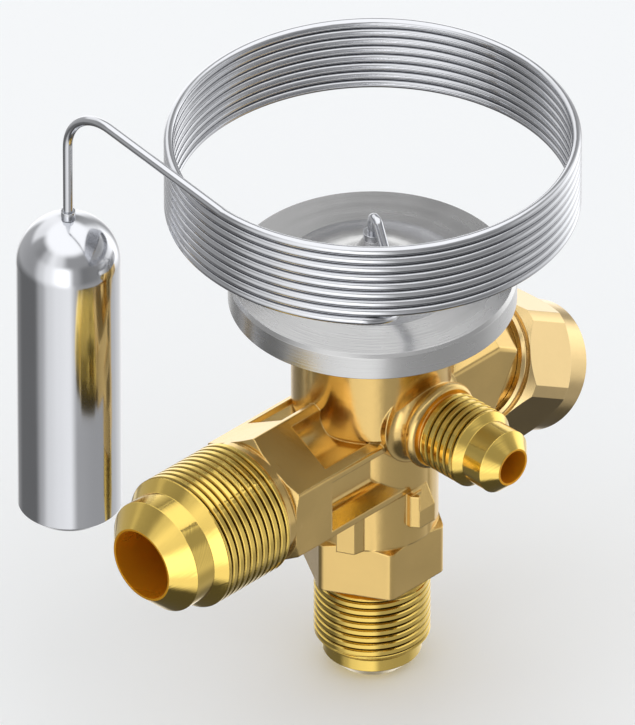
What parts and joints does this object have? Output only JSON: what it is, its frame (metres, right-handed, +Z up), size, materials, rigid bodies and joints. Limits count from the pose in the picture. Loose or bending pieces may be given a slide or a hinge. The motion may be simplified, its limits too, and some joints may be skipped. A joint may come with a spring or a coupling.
{
  "type": "thermostatic expansion valve",
  "caption": "Brass refrigerant expansion valve with flare ends, a steel diaphragm element, a coiled capillary tube with its sensing bulb, and a setting spindle under a hexagonal seal cap.",
  "frame": {"origin": "centre of the inlet's mouth", "axes": "+Z up the valve axis from the inlet to the diaphragm element; the outlet points along -X, the equalizer along -Y, the setting arm along +X and down; the bulb stands at -X, +Y"},
  "size_m": [0.0801, 0.0657, 0.09],
  "materials": {
    "brass": "polished",
    "inner_brass": "satin",
    "element_steel": "satin",
    "bright_tube": "polished",
    "spring_steel": "satin",
    "inner_steel": "satin",
    "seal_rubber": "matte",
    "seal_plastic": "matte",
    "strainer_steel": "satin"
  },
  "bodies": {
    "valve": {"valve_body": "brass", "element_lower_housing": "element_steel", "element_upper_housing": "element_steel", "diaphragm": "inner_steel", "rod_guide": "inner_brass", "rocker_cage": "inner_steel", "rocker_pin": "inner_steel", "superheat_spring": "spring_steel", "gland_gasket": "seal_plastic", "spindle_gland": "inner_brass", "spindle_seal_ring": "seal_rubber", "orifice_cartridge": "inner_brass", "orifice_seal_ring": "seal_rubber", "cone_spring": "spring_steel", "spring_retainer": "inner_brass", "strainer_rim": "strainer_steel", "strainer_mesh": "strainer_steel", "capillary_tube": "bright_tube", "hub_ferrule": "bright_tube", "bulb_ferrule": "bright_tube", "sensing_bulb": "bright_tube"},
    "stem": {"thrust_pad": "inner_steel", "push_rod": "inner_steel", "valve_cone": "inner_steel"},
    "rocker": {"rocker": "inner_steel"},
    "plunger": {"spring_plunger": "inner_steel"},
    "seat": {"spring_seat": "inner_brass"},
    "spindle": {"setting_spindle": "inner_steel"},
    "cap": {"seal_cap": "brass", "cap_gasket": "seal_plastic"}
  },
  "joints": [
    {"name": "stem_stroke", "type": "slide", "parent": "valve", "child": "stem", "axis": [0, 0, -1], "range_m": [0, 0.0007], "stiffness_N_per_m": 800, "springref_m": -0.002, "deforming": ["cone_spring", "diaphragm"]},
    {"name": "rocker_tilt", "type": "hinge", "parent": "valve", "child": "rocker", "pos_m": [0.00521, 0, 0.05226], "axis": [0, -1, 0], "range_deg": [0, 7.8]},
    {"name": "plunger_slide", "type": "slide", "parent": "valve", "child": "plunger", "axis": [0.8678, 0, -0.497], "range_m": [0, 0.0006]},
    {"name": "spindle_turn", "type": "hinge", "parent": "valve", "child": "spindle", "pos_m": [0.0269, 0, 0.03499], "axis": [0.8678, 0, -0.497], "range_deg": [-721, 721]},
    {"name": "seat_travel", "type": "slide", "parent": "valve", "child": "seat", "axis": [0.8678, 0, -0.497], "range_m": [-0.0015, 0.0015], "deforming": ["superheat_spring"]},
    {"name": "cap_off", "type": "slide", "parent": "valve", "child": "cap", "axis": [0.8678, 0, -0.497], "range_m": [0, 0.012]}
  ],
  "couplings": [
    {"joint": "rocker_tilt", "follows": "stem_stroke", "rad_per_m": 191.89},
    {"joint": "plunger_slide", "follows": "stem_stroke", "ratio": 0.80595},
    {"joint": "spindle_turn", "follows": "seat_travel", "rad_per_m": 8377.6}
  ]
}
